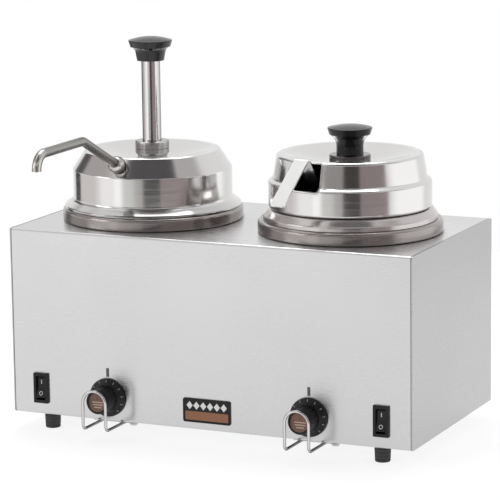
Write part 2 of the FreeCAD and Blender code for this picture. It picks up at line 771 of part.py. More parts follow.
def seated_ball(radius, seat_radius, seat_z):
    """Ball just clear of a sharp round seat, on Z."""
    reach = radius + ball_lift
    return Part.makeSphere(radius, Vec(0, 0, seat_z + math.sqrt(reach ** 2 - seat_radius ** 2)))


def valve_balls():
    """Inlet ball over the foot seat and outlet ball under the riser."""
    inlet = seated_ball(inlet_ball_radius, inlet_hole, inlet_seat)
    outlet = seated_ball(outlet_ball_radius, outlet_hole, outlet_seat)
    outlet.translate(Vec(0, -riser_x, 0))
    return inlet, outlet


def discharge_riser():
    """Tube inside the jar, from the foot valve up to the fitting in the lid."""
    turn_height = boss_point.z - (boss_point.x - riser_x) * math.tan(rise)
    end = on_spout_axis(-riser_end)
    path = wire_path([(riser_x, riser_foot), (riser_x, turn_height), (end[0], end[2])], [riser_bend])
    return to_front(tube(path, tube_radius, tube_bore))


def discharge_fitting():
    """Through-fitting in the lid's shoulder: a flange inside and a threaded neck."""
    inside, flange_face, outside, flange_radius, past = -7.0, -3.4, 5.5, 9.0, 12.0
    neck = rod(fitting_radius, on_spout_axis(inside), on_spout_axis(outside))
    flange = rod(flange_radius, on_spout_axis(inside), on_spout_axis(flange_face))
    bore = rod(tube_radius + tube_fit, on_spout_axis(-past), on_spout_axis(past))
    return to_front(neck.fuse(flange).cut(bore).removeSplitter())


def spout_nut():
    """Rounded nut that holds the spout on the fitting."""
    ball_radius, middle, face, nose, thread_end = 8.7, 5.6, 1.6, 12.4, 5.7
    half_groove, groove_floor, past = 0.4, 8.2, 20.0
    ball = Part.makeSphere(ball_radius, Vec(*on_spout_axis(middle)))
    trim = rod(past, on_spout_axis(face), on_spout_axis(nose))
    bore = rod(fitting_radius + 0.05, on_spout_axis(-through), on_spout_axis(thread_end))
    tube_hole = rod(tube_radius + tube_fit, on_spout_axis(face), on_spout_axis(past))
    groove = rod(past, on_spout_axis(middle - half_groove), on_spout_axis(middle + half_groove))
    groove = groove.cut(rod(groove_floor, on_spout_axis(face), on_spout_axis(nose)))
    return to_front(ball.common(trim).cut(Part.makeCompound([bore, tube_hole, groove])))


def discharge_spout():
    """Bright tube: up from the lid, level towards the front, then down to a square-cut mouth."""
    run = (spout_level - boss_point.z) / math.tan(rise)
    start = on_spout_axis(-spout_start)
    path = wire_path([(start[0], start[2]), (boss_point.x + run, spout_level),
                      (spout_reach, spout_level), (spout_reach, spout_mouth)], [riser_bend, spout_bend])
    return to_front(tube(path, tube_radius, tube_bore))


knob_foot = 159.9
knob_socket = 9.0                 # depth of the plunger's socket in the knob


def dome_arc(radius, edge_z, top_z):
    """Arc of a shallow dome, from its edge up to its top on the axis."""
    rise_of_dome = top_z - edge_z
    sphere = (radius ** 2 + rise_of_dome ** 2) / (2 * rise_of_dome)
    half_angle = math.asin(radius / sphere) / 2
    middle = Vec(sphere * math.sin(half_angle), 0, top_z - sphere * (1 - math.cos(half_angle)))
    return Part.Arc(Vec(radius, 0, edge_z), middle, Vec(0, 0, top_z)).toShape()


def leaving_arc(start, heading, end):
    """Arc that leaves a point in a given direction and turns clockwise to another point."""
    across = Vec(heading.z, 0, -heading.x).normalize()
    chord = end - start
    radius = chord.Length ** 2 / (2 * chord.dot(across))
    centre = start + across * radius
    middle = centre + ((start + end) * 0.5 - centre).normalize() * radius
    return Part.Arc(start, middle, end).toShape()


knob_under_radius = knob_radius - 1.8     # the cap's lower edge
knob_dome_radius = knob_radius - 1.4


def mushroom_knob(neck, cap, socket):
    """Knob whose neck rises to a throat and flares out into a rimmed, slightly domed cap.

    neck holds the foot's height and radius and the throat's height and radius; cap the heights of
    the cap's lower edge, rim and top; socket the radius and depth of the hole in the foot.
    """
    foot, foot_radius, throat, throat_radius = neck
    under, rim, top = cap
    socket_radius, socket_depth = socket
    rim_round, bulge, bulge_drop = 1.0, 0.4, 0.3
    neck_foot, neck_top = Vec(foot_radius, 0, foot), Vec(throat_radius, 0, throat)
    lower_edge, upper_edge = Vec(knob_under_radius, 0, under), Vec(knob_radius, 0, rim - rim_round)
    shoulder = Vec(knob_dome_radius, 0, rim)
    corners = [Vec(0, 0, top), Vec(0, 0, foot + socket_depth), Vec(socket_radius, 0, foot + socket_depth),
               Vec(socket_radius, 0, foot), neck_foot, neck_top]
    edges = [Part.makeLine(start, end) for start, end in zip(corners, corners[1:])]
    edges += [leaving_arc(neck_top, neck_top - neck_foot, lower_edge),
              Part.makeLine(lower_edge, upper_edge),
              Part.Arc(upper_edge, Vec(knob_radius - bulge, 0, rim - bulge_drop), shoulder).toShape(),
              dome_arc(knob_dome_radius, rim, top)]
    return Part.Face(Part.Wire(edges)).revolve(ORIGIN, Z_AXIS, FULL_TURN)


def pump_knob():
    """Knob pressed on the plunger."""
    neck = (knob_foot, 13.7, 168.6, 15.3)
    cap = (173.8, 180.6, 184.0)
    return mushroom_knob(neck, cap, (plunger_radius, knob_socket))


piston_low, piston_high = 22.0, 34.0
piston_socket = 6.0               # depth of the plunger's socket in the piston
plunger_wall = 1.2
groove_radius, groove_foot, groove_head = 11.4, 26.5, 29.5    # the seal's groove round the piston
seal_play = 0.1


def plunger_tube():
    """Bright plunger tube from the knob down to the piston."""
    return ring(plunger_radius, plunger_radius - plunger_wall, piston_high - piston_socket,
                knob_foot + knob_socket)


def piston():
    """Piston head with a groove for its seal and a socket for the plunger."""
    outer = cylinder_bore - 0.3
    socket_floor = piston_high - piston_socket
    profile = [(0, piston_low), (outer, piston_low), (outer, groove_foot), (groove_radius, groove_foot),
               (groove_radius, groove_head), (outer, groove_head), (outer, piston_high),
               (plunger_radius, piston_high), (plunger_radius, socket_floor), (0, socket_floor)]
    return spun_points(profile, [0, 0.6, 0.3, 0, 0, 0.3, 0.6, 0, 0, 0])


def piston_seal():
    """Rubber ring in the piston's groove."""
    outer, rounding = cylinder_bore - 0.04, 0.9
    low, high = groove_foot + seal_play, groove_head - seal_play
    return spun_points([(groove_radius, low), (groove_radius, high), (outer, high), (outer, low)],
                       [0, 0, rounding, rounding])


def pump_spring():
    """Return spring between the foot valve and the piston."""
    wire, coil, turns, play = 0.8, 10.8, 13, 0.2
    height = piston_low - cylinder_foot - 2 * (wire + play)
    helix = Part.makeHelix(height / turns, height, coil)
    helix.translate(Vec(0, 0, cylinder_foot + wire + play))
    start = helix.Edges[0].valueAt(helix.Edges[0].FirstParameter)
    tangent = helix.Edges[0].tangentAt(helix.Edges[0].FirstParameter)
    section = Part.Wire(Part.makeCircle(wire, start, tangent))
    return Part.Wire(helix.Edges).makePipeShell([section], True, True)


# ================================================================ lift-off lid
skirt_radius, skirt_foot, seat_z = 75.2, 16.0, 25.2       # locating skirt inside the jar, and the seat
step_z, upper_foot = 50.8, 53.8                           # the step between the two tiers
upper_foot_radius, upper_top_radius = 75.9, 72.0
crest_inner_radius, dish_floor_radius = 64.5, 32.0
screw_hole_radius = 3.2
lift_lid_corners = [(skirt_radius, skirt_foot), (skirt_radius, seat_z), (lid_wall, seat_z),
                    (lid_wall, step_z), (upper_foot_radius, upper_foot), (upper_top_radius, lift_lid_top),
                    (crest_inner_radius, lift_lid_top), (dish_floor_radius, lift_dish),
                    (screw_hole_radius, lift_dish)]
lift_lid_radii = [0.9, 2.4, 2.6, 1.4, 3.6, 3.0, 14.0]
notch_foot, notch_head = 50.2, 76.2


def turned(shape, angle):
    """Swing a shape drawn in the +X direction round Z by an angle."""
    shape.rotate(ORIGIN, Z_AXIS, angle)
    return shape


def lift_lid():
    """Two-tier lid with a locating skirt, a dished top and a notch with folded-in sides."""
    fold_sheet, fold_inner, notch_inner, past, corner = 1.0, 67.0, 69.2, 90.0, 1.5
    lid = spun(sheet_outline(lift_lid_corners, lift_lid_radii, lid_sheet))
    envelope = spun_points([(0, seat_z)] + lift_lid_corners[2:8] + [(0, lift_dish)],
                           [0] + lift_lid_radii[1:] + [0])
    half = notch_width / 2
    notch = box((notch_inner, -half, notch_foot), (past, half, notch_head))
    radial_edges = [e for e in notch.Edges if e.BoundBox.XLength > past - notch_inner - 1]
    notch = notch.makeFillet(corner, radial_edges)
    left = box((fold_inner, -half - fold_sheet, notch_foot), (past, -half, notch_head))
    right = box((fold_inner, half, notch_foot), (past, half + fold_sheet, notch_head))
    folds = [turned(fold, notch_angle).common(envelope) for fold in (left, right)]
    return lid.fuse(Part.makeCompound(folds)).cut(turned(notch, notch_angle)).removeSplitter()


flange_top = 76.0


def knob_flange():
    """Bright disc under the lid knob."""
    outside, low_round, high_round = 20.4, 0.6, 0.9
    return spun_points([(screw_hole_radius, lift_dish), (outside, lift_dish), (outside, flange_top),
                        (screw_hole_radius, flange_top)], [0, low_round, high_round, 0])


def lid_knob():
    """Knob of the lift-off lid."""
    neck = (flange_top, 13.4, 84.0, 13.3)
    cap = (95.8, 102.6, 105.4)
    socket = (3.1, 13.0)
    return mushroom_knob(neck, cap, socket)


def lid_knob_screw():
    """Screw from under the lid into the knob."""
    radius, head_radius, head, length, slot_width = 3.0, 6.0, 3.0, 19.0, 1.4
    screw = pan_screw(radius, head_radius, head, length, slot_width)
    screw.translate(Vec(0, 0, lift_dish - lid_sheet))
    return screw


# ================================================================ ladle
bowl_radius = 26.0
bowl_centre = 19.5                # distance of the bowl's axis from the well axis
bowl_rim = -114.0
handle_overlap = 6.0              # how far the handle runs down the bowl's side
handle_knee = 28.0                # where it starts to lean out
handle_fold = (79.8, 83.2)        # radius and height of the fold above the notch
handle_bend = (118.4, 47.2)
handle_end = (123.4, 42.1)


def ladle_handle():
    """Flat strip: up from the bowl, out through the notch, then folded down outside the lid."""
    reach = bowl_centre + bowl_radius
    knee_round, fold_round, bend_round, tip_round, tip = 26.0, 3.2, 20.0, 3.0, 123.8
    corners = [(reach, bowl_rim - handle_overlap), (reach, handle_knee), handle_fold, handle_bend, handle_end]
    outline = sheet_outline(corners, [knee_round, fold_round, bend_round], -ladle_sheet)
    outline.rotate(ORIGIN, X_AXIS, 90)
    half = ladle_width / 2
    outline.translate(Vec(0, half, 0))
    strip = Part.Face(outline).extrude(Vec(0, -ladle_width, 0))
    plan = closed_outline([(0, -half), (0, half), (tip, half), (tip, -half)], [0, 0, tip_round, tip_round])
    plan.translate(Vec(0, 0, bowl_rim - reach))
    tall = Vec(0, 0, handle_fold[1] - bowl_rim + 2 * reach)
    return turned(strip.common(Part.Face(plan).extrude(tall)), ladle_angle)


def ladle_bowl():
    """Round-bottomed bowl of thin sheet, cut flat where the handle lies against it."""
    depth, wall, taper, foot, belly = 25.0, 1.0, 1.0, 13.0, 13.75
    foot_z, belly_z = bowl_rim - depth, bowl_rim - belly
    outer = spun_points([(0, bowl_rim), (bowl_radius, bowl_rim), (bowl_radius - taper, belly_z),
                         (foot, foot_z), (0, foot_z)], [0, 0, 8.0, 14.0, 0])
    inner = spun_points([(0, bowl_rim + 1), (bowl_radius - wall, bowl_rim + 1),
                         (bowl_radius - taper - wall, belly_z), (foot - wall / 2, foot_z + wall),
                         (0, foot_z + wall)], [0, 0, 7.0, 13.2, 0])
    bowl = outer.cut(inner)
    bowl.translate(Vec(bowl_centre, 0, 0))
    edge = bowl_centre + bowl_radius
    strip_room = box((edge - 0.02, -ladle_width, foot_z - 1), (edge + through, ladle_width, bowl_rim + 1))
    return turned(bowl.cut(strip_room), ladle_angle)


# ================================================================ build every node
def build_housing():
    """Case, feet and fasteners."""
    save("body_wrap", body_wrap())
    for side, sign in sides.items():
        save("side_panel_" + side, side_panel(sign))
    save("bottom_plate", bottom_plate())
    screw_head_radius, screw_head, screw_length = 4.0, 2.2, 6.5
    screw = pan_screw(base_screw_radius, screw_head_radius, screw_head, screw_length)
    save_group("base_screws", [placed(screw, x, y, base_z) for x, y in base_screw_places])
    save_group("guard_screws", [placed(screw, x, y, base_z - bracket_sheet) for x, y in guard_screw_places])
    foot = rubber_foot()
    save_group("rubber_feet", [placed(foot, x, y, 0) for x, y in foot_places])
    screw_head_radius, screw_head, screw_length = 4.3, 2.8, 15.0
    foot_screw = pan_screw(foot_screw_radius, screw_head_radius, screw_head, screw_length)
    save_group("foot_screws", [placed(foot_screw, x, y, foot_recess) for x, y in foot_places])
    save("name_plate", name_plate())
    save_group("index_marks", index_marks())
    save("cord_gland", cord_gland())
    save("terminal_block", terminal_block())
    save_group("terminal_screws", terminal_screws())


def build_controls():
    """Thermostats, knobs, guards and switches."""
    for side, sign in sides.items():
        save("thermostat_" + side, at_control(thermostat(), sign))
        save("thermostat_shaft_" + side, at_control(thermostat_shaft(), sign))
        save("thermostat_knob_" + side, at_control(thermostat_knob(), sign))
        save("knob_insert_" + side, at_control(knob_insert(), sign))
        guard = at_control(knob_guard(), sign, 0)
        save("knob_guard_" + side, guard)
        save("guard_bracket_" + side, at_control(guard_bracket(), sign, 0))
        save("switch_bezel_" + side, at_switch(switch_bezel(), sign))
        save("switch_rocker_" + side, at_switch(switch_rocker(), sign))


def build_wells():
    """Wells, heaters, insulation and jars."""
    save("jar_left", at_well(pump_jar(), "left"))
    save("jar_right", at_well(ladle_jar(), "right"))
    for side in sides:
        save("water_well_" + side, at_well(water_well(), side))
        save("heating_element_" + side, at_well(heating_element(), side))
        save("insulation_" + side, at_well(insulation(), side))


def build_pump():
    """Everything that lifts out with the pump lid."""
    inlet, outlet = valve_balls()
    pieces = {"pump_lid": pump_lid(), "locking_collar": locking_collar(), "collar_washer": collar_washer(),
              "pump_cylinder": pump_cylinder(), "valve_body": valve_body(), "inlet_ball": inlet,
              "outlet_ball": outlet, "discharge_riser": discharge_riser(),
              "discharge_fitting": discharge_fitting(), "spout_nut": spout_nut(),
              "discharge_spout": discharge_spout(), "pump_knob": pump_knob(),
              "plunger_tube": plunger_tube(), "piston": piston(), "piston_seal": piston_seal(),
              "pump_spring": pump_spring()}
    for node, shape in pieces.items():
        save(node, at_well(shape, "left"))


def build_lift_lid():
    """Lift-off lid and its ladle."""
    pieces = {"lift_lid": lift_lid(), "knob_flange": knob_flange(), "lid_knob": lid_knob(),
              "lid_knob_screw": lid_knob_screw(), "ladle_handle": ladle_handle(), "ladle_bowl": ladle_bowl()}
    for node, shape in pieces.items():
        save(node, at_well(shape, "right"))


os.makedirs("parts", exist_ok=True)
build_housing()
build_controls()
build_wells()
build_pump()
build_lift_lid()
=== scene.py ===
"""Looks of the twin topping warmer: materials, printed marks, floor, studio light and camera.

Metres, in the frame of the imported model: X runs to the right, Y to the back and Z up.
"""
import bmesh
import bpy
import math
from mathutils import Matrix, Vector


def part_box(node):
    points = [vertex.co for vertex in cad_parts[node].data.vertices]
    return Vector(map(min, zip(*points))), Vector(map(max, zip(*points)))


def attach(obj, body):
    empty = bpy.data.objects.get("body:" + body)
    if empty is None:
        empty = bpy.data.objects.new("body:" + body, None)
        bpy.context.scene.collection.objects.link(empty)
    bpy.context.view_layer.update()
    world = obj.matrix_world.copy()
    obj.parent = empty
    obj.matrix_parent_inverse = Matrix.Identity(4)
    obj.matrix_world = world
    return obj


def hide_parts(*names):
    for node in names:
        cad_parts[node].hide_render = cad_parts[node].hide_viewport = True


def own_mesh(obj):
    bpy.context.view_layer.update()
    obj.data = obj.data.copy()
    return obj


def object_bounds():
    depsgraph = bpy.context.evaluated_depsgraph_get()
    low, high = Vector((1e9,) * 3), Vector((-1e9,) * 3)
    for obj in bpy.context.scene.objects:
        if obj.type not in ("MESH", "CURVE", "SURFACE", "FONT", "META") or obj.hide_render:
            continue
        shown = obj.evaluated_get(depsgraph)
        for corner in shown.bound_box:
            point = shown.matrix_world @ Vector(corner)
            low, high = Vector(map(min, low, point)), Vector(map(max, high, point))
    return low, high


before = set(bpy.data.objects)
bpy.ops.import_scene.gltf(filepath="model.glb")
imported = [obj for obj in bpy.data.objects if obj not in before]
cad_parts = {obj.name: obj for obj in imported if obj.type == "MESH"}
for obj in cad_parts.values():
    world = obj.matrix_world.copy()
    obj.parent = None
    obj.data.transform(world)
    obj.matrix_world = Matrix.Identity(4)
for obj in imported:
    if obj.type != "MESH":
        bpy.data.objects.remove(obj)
cad_low, cad_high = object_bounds()
mm = 0.001
upright = Vector((0, 0, 1))
sides = ("left", "right")

# ---------------------------------------------------------------- places read from the frame
housing_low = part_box("body_wrap")[0]
front_y = housing_low.y
base_z = housing_low.z


def middle_of(node):
    """Middle of a CAD node's box."""
    low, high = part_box(node)
    return (low + high) / 2


well_axis = {side: middle_of("water_well_" + side) for side in sides}
dial_axis = {side: middle_of("thermostat_shaft_" + side) for side in sides}


# ================================================================ material building
def shade(colour, factor):
    """The same hue, lighter or darker."""
    return tuple(factor * channel for channel in colour)


def add_node(tree, kind, inputs=(), **settings):
    """New shader node in a tree; inputs are (socket, value or output) pairs."""
    made = tree.nodes.new("ShaderNode" + kind)
    for setting, value in settings.items():
        setattr(made, setting, value)
    for socket, value in inputs:
        if isinstance(value, bpy.types.NodeSocket):
            tree.links.new(value, made.inputs[socket])
        else:
            made.inputs[socket].default_value = value
    return made


class Finish:
    """One node material, built on the Principled shader."""

    def __init__(self, name, colour, metallic=0.0, roughness=0.5, **sockets):
        self.material = bpy.data.materials.new(name)
        self.material.use_nodes = True
        self.tree = self.material.node_tree
        self.shader = self.tree.nodes["Principled BSDF"]
        self.shader.inputs["Base Color"].default_value = (*colour, 1)
        self.shader.inputs["Metallic"].default_value = metallic
        self.shader.inputs["Roughness"].default_value = roughness
        for socket, value in sockets.items():
            self.shader.inputs[socket.replace("_", " ")].default_value = value
        self.coordinates = self.tree.nodes.new("ShaderNodeTexCoord").outputs["Object"]

    def node(self, kind, inputs=(), **settings):
        """New node in this material."""
        return add_node(self.tree, kind, inputs, **settings)

    def stretched(self, stretch):
        """Object coordinates, stretched along each axis."""
        scaled = self.node("VectorMath", [(0, self.coordinates), (1, stretch)], operation="MULTIPLY")
        return scaled.outputs[0]

    def turned_about(self, centre, ring_stretch, height_stretch, drift=0.0):
        """Coordinates that are the same all the way round an upright axis, but for a slow drift."""
        moved = self.node("VectorMath", [(0, self.coordinates), (1, tuple(centre))], operation="SUBTRACT")
        level = self.node("VectorMath", [(0, moved.outputs[0]), (1, (1, 1, 0))], operation="MULTIPLY")
        radius = self.node("VectorMath", [(0, level.outputs[0])], operation="LENGTH").outputs["Value"]
        height = self.node("SeparateXYZ", [(0, moved.outputs[0])]).outputs["Z"]
        ring = self.node("Math", [(0, radius), (1, ring_stretch)], operation="MULTIPLY").outputs[0]
        rise = self.node("Math", [(0, height), (1, height_stretch)], operation="MULTIPLY").outputs[0]
        flow = self.node("TexNoise", [("Vector", moved.outputs[0]), ("Scale", 30.0)]).outputs["Fac"]
        shift = self.node("Math", [(0, flow), (1, drift)], operation="MULTIPLY").outputs[0]
        return self.node("CombineXYZ", [(0, ring), (1, shift), (2, rise)]).outputs[0]

    def noise(self, vector, scale, detail=3.0, roughness=0.5):
        """Soft noise from 0 to 1."""
        return self.node("TexNoise", [("Vector", vector), ("Scale", scale), ("Detail", detail),
                                      ("Roughness", roughness)]).outputs["Fac"]

    def spread(self, value, low, high, start=0.3, end=0.7):
        """Map a value's middle range onto low to high."""
        return self.node("MapRange", [("Value", value), ("From Min", start), ("From Max", end),
                                      ("To Min", low), ("To Max", high)]).outputs["Result"]

    def blend(self, amount, first, second):
        """Colour between two colours."""
        made = self.node("Mix", [(0, amount)], data_type="RGBA")
        for socket, value in ((6, first), (7, second)):
            if isinstance(value, bpy.types.NodeSocket):
                self.tree.links.new(value, made.inputs[socket])
            else:
                made.inputs[socket].default_value = (*value, 1)
        return made.outputs[2]

    def use(self, **links):
        """Feed outputs into the shader's sockets."""
        for socket, output in links.items():
            self.tree.links.new(output, self.shader.inputs[socket.replace("_", " ")])

    def brushed_along(self, axis, amount):
        """Blur reflections across a brushing direction, and keep them sharper along it."""
        grain = self.node("CombineXYZ", list(enumerate(axis))).outputs[0]
        self.shader.inputs["Anisotropic"].default_value = amount
        quarter_turn = 0.25
        self.shader.inputs["Anisotropic Rotation"].default_value = quarter_turn
        self.use(Tangent=grain)

    def painted_edge_shade(self, middle, edge, start=0.12, end=0.75):
        """Painted shade: the colour falls off where the surface turns away from the eye, as on thin bright
        rods.
        """
        facing = self.node("LayerWeight", [("Blend", 0.5)]).outputs["Facing"]
        return self.blend(self.spread(facing, 0, 1, start, end), middle, edge)

    def bump(self, height, strength, depth):
        """Raise the surface by a height from 0 to 1, after any earlier bump."""
        earlier = self.shader.inputs["Normal"]
        inputs = [("Height", height), ("Strength", strength), ("Distance", depth)]
        if earlier.is_linked:
            inputs.append(("Normal", earlier.links[0].from_socket))
        made = self.node("Bump", inputs)
        self.use(Normal=made.outputs[0])


def brushed_sheet(name, colour, axis, roughness=(0.24, 0.30), strength=0.03, fine=2600.0, long=8.0,
                  anisotropy=0.75):
    """Brushed stainless sheet: fine straight grain along an axis, with faint cloudy wear."""
    finish = Finish(name, colour, metallic=1.0)
    lines = tuple(long if along else fine for along in axis)
    grain = finish.noise(finish.stretched(lines), 1.0, detail=5.0, roughness=0.65)
    clouds = finish.noise(finish.coordinates, 9.0, detail=4.0)
    finish.brushed_along(axis, anisotropy)
    finish.use(Base_Color=finish.blend(finish.spread(grain, 0, 1), shade(colour, 0.97), colour))
    rough = finish.node("Math", [(0, finish.spread(grain, *roughness)),
                                 (1, finish.spread(clouds, -0.03, 0.03))], operation="ADD")
    finish.use(Roughness=rough.outputs[0])
    finish.bump(grain, strength, 0.02 * mm)
    return finish.material


def spun_metal(name, colour, centre, roughness=(0.05, 0.12), rings=900.0, strength=0.06, edge=1.0,
               painted_shade_below=None, metallic=1.0):
    """Polished spun steel: faint rings round an upright axis, with smears and tiny scratches.

    Below the given height the colour is darkened to half, as painted shade on the flared foot. The colour
    at grazing angles is edge times the colour that faces the eye, as painted edge shade. A metallic value
    under 1 lets a deep vessel scatter some light inside.
    """
    finish = Finish(name, colour, metallic=metallic)
    lathe = finish.noise(finish.turned_about(centre, rings, rings, drift=3.0), 1.0, detail=3.0)
    smears = finish.noise(finish.stretched((1, 1, 0.6)), 22.0, detail=5.0)
    scratches = finish.noise(finish.stretched((400, 60, 150)), 1.0, detail=6.0, roughness=0.8)
    tone = finish.blend(finish.spread(smears, 0, 1), shade(colour, 0.95), colour)
    # painted shade: the colour is halved below the given height, on the flared foot
    if painted_shade_below is not None:
        height = finish.node("SeparateXYZ", [(0, finish.coordinates)]).outputs["Z"]
        painted_foot_shade = finish.spread(height, 1, 0, painted_shade_below - 1 * mm, painted_shade_below + 1 * mm)
        tone = finish.blend(painted_foot_shade, tone, shade(colour, 0.5))
    # painted edge shade: the colour darkens where the surface turns away from the eye
    finish.use(Base_Color=finish.painted_edge_shade(tone, shade(colour, edge)))
    smeared = finish.spread(smears, 0.0, 0.05, start=0.45, end=0.8)
    rough = finish.node("Math", [(0, finish.spread(lathe, *roughness)), (1, smeared)], operation="ADD")
    finish.use(Roughness=rough.outputs[0])
    finish.bump(lathe, strength, 0.02 * mm)
    finish.bump(scratches, strength / 2, 0.01 * mm)
    return finish.material


def bright_metal(name, colour, roughness=(0.06, 0.16), scale=350.0, edge=1.0, peeled=0.05):
    """Bright plated or drawn metal with a little orange peel and handling marks.

    The colour at grazing angles is edge times the colour that faces the eye: painted edge shade.
    """
    finish = Finish(name, colour, metallic=1.0)
    peel = finish.noise(finish.coordinates, scale, detail=3.0)
    marks = finish.noise(finish.coordinates, 60.0, detail=6.0, roughness=0.7)
    finish.use(Roughness=finish.spread(marks, *roughness))
    tone = finish.blend(finish.spread(marks, 0, 1), colour, shade(colour, 0.94))
    # painted edge shade: the colour darkens where the surface turns away from the eye
    finish.use(Base_Color=finish.painted_edge_shade(tone, shade(colour, edge)))
    finish.bump(peel, peeled, 0.03 * mm)
    return finish.material


def plated_metal(name, colour):
    """Dull zinc plate with a crystalline mottle."""
    finish = Finish(name, colour, metallic=1.0)
    cells = finish.node("TexVoronoi", [("Vector", finish.coordinates), ("Scale", 240.0)]).outputs["Color"]
    clouds = finish.noise(finish.coordinates, 40.0, detail=5.0)
    grey = finish.node("RGBToBW", [(0, cells)]).outputs[0]
    mottle = finish.spread(grey, 0, 1, start=0.2, end=0.8)
    finish.use(Base_Color=finish.blend(mottle, colour, shade(colour, 0.86)))
    finish.use(Roughness=finish.spread(clouds, 0.3, 0.5))
    finish.bump(clouds, 0.1, 0.05 * mm)
    return finish.material


def moulded_plastic(name, colour, roughness=(0.25, 0.4), grain=900.0, depth=0.03, shine=0.25):
    """Moulded plastic: fine surface grain, slight cloudiness and faint dust."""
    finish = Finish(name, colour, Specular_IOR_Level=shine)
    pits = finish.noise(finish.coordinates, grain, detail=3.0)
    clouds = finish.noise(finish.coordinates, 45.0, detail=4.0)
    dust = tuple(min(1.0, channel + 0.006) for channel in colour)
    finish.use(Base_Color=finish.blend(finish.spread(clouds, 0, 1), colour, dust))
    finish.use(Roughness=finish.spread(clouds, *roughness))
    finish.bump(pits, 0.15, depth * mm)
    return finish.material


def rubber(name, colour):
    """Matt rubber with a fine mould texture and dusty patches."""
    finish = Finish(name, colour, roughness=0.7)
    pits = finish.noise(finish.coordinates, 1400.0, detail=2.0)
    dust = finish.noise(finish.coordinates, 90.0, detail=5.0, roughness=0.7)
    dusty = tuple(channel + 0.05 for channel in colour)
    finish.use(Base_Color=finish.blend(finish.spread(dust, 0, 0.7), colour, dusty))
    finish.use(Roughness=finish.spread(dust, 0.6, 0.85))
    finish.bump(pits, 0.3, 0.06 * mm)
    return finish.material


def glass_wool(name, colour):
    """Fibre blanket: tangled strands and soft lumps."""
    finish = Finish(name, colour, roughness=0.95, Sheen_Weight=0.3)
    strands = finish.noise(finish.stretched((1, 1, 4)), 500.0, detail=8.0, roughness=0.8)
    lumps = finish.noise(finish.coordinates, 60.0, detail=4.0)
    finish.use(Base_Color=finish.blend(finish.spread(strands, 0, 1), shade(colour, 0.7), colour))
    finish.bump(lumps, 0.6, 2 * mm)
    finish.bump(strands, 0.5, 0.4 * mm)
    return finish.material


def printed(name, colour, roughness=0.45):
    """Screen-printed ink: nearly flat, with worn pinholes."""
    finish = Finish(name, colour, roughness=roughness)
    wear = finish.noise(finish.coordinates, 700.0, detail=6.0, roughness=0.8)
    pinholes = finish.spread(wear, 0, 0.5, start=0.55, end=0.75)
    faded = tuple(0.6 * channel + 0.1 for channel in colour)
    finish.use(Base_Color=finish.blend(pinholes, colour, faded))
    finish.bump(wear, 0.1, 0.02 * mm)
    return finish.material


# ================================================================ finishes on the CAD nodes
def paint(material, *nodes):
    """Put a material in every slot of some CAD nodes."""
    for node in nodes:
        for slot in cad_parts[node].material_slots:
            slot.material = material


def both(name):
    """The left and the right one of a pair."""
    return name + "_left", name + "_right"


steel = (0.64, 0.635, 0.64)
# painted shade: the side panels are the wrap's steel, coloured darker for the shade on them
painted_shade_steel = (0.47, 0.47, 0.475)
mirror = (0.70, 0.69, 0.685)
bright = (0.72, 0.715, 0.71)


def paint_housing():
    """Case, feet and fasteners."""
    paint(brushed_sheet("brushed_wrap", steel, (1, 0, 0)), "body_wrap")
    # side panels: a darker copy of the steel, as painted shade
    paint(brushed_sheet("brushed_ends_painted_shade", painted_shade_steel, (0, 1, 0)), *both("side_panel"))
    paint(plated_metal("zinc_plate", (0.55, 0.56, 0.57)), "bottom_plate", *both("guard_bracket"),
          *both("thermostat"))
    paint(bright_metal("screw_steel", (0.58, 0.58, 0.59), (0.2, 0.4)), "base_screws", "guard_screws",
          "foot_screws", "lid_knob_screw")
    paint(rubber("foot_rubber", (0.022, 0.022, 0.024)), "rubber_feet")
    paint(moulded_plastic("badge_enamel", (0.008, 0.008, 0.008), (0.12, 0.2)), "name_plate")
    paint(printed("mark_ink", (0.10, 0.10, 0.11)), "index_marks")
    paint(moulded_plastic("gland_nylon", (0.02, 0.02, 0.02), (0.35, 0.5)), "cord_gland")
    paint(moulded_plastic("terminal_ceramic", (0.80, 0.79, 0.75), (0.2, 0.35)), "terminal_block")
    paint(bright_metal("terminal_brass", (0.72, 0.55, 0.25), (0.2, 0.4)), "terminal_screws",
          *both("thermostat_shaft"))


def paint_controls():
    """Dials, guards and switches."""
    paint(moulded_plastic("dial_black", (0.009, 0.009, 0.01), (0.3, 0.45)), *both("thermostat_knob"))
    for side in sides:
        paint(spun_metal("dial_disc_" + side, (0.16, 0.10, 0.08), dial_axis[side], (0.25, 0.4)),
              "knob_insert_" + side)
    # edge 0.08 paints the guard wires' sides nearly black: painted shade
    paint(bright_metal("guard_chrome", (0.66, 0.64, 0.63), (0.1, 0.2), edge=0.08), *both("knob_guard"))
    paint(moulded_plastic("switch_black", (0.009, 0.009, 0.01), (0.3, 0.42)), *both("switch_bezel"))
    paint(moulded_plastic("rocker_black", (0.012, 0.012, 0.014), (0.18, 0.3)), *both("switch_rocker"))


def paint_wells():
    """Wells, jars and heaters."""
    for side in sides:
        centre = well_axis[side]
        paint(spun_metal("well_steel_" + side, (0.36, 0.33, 0.32), centre, (0.12, 0.22), metallic=0.75),
              "water_well_" + side)
        paint(spun_metal("jar_steel_" + side, (0.60, 0.57, 0.56), centre, (0.10, 0.18), metallic=0.75),
              "jar_" + side)
        paint(bright_metal("element_" + side, (0.22, 0.2, 0.18), (0.35, 0.6)), "heating_element_" + side)
    paint(glass_wool("glass_wool", (0.8, 0.74, 0.5)), *both("insulation"))


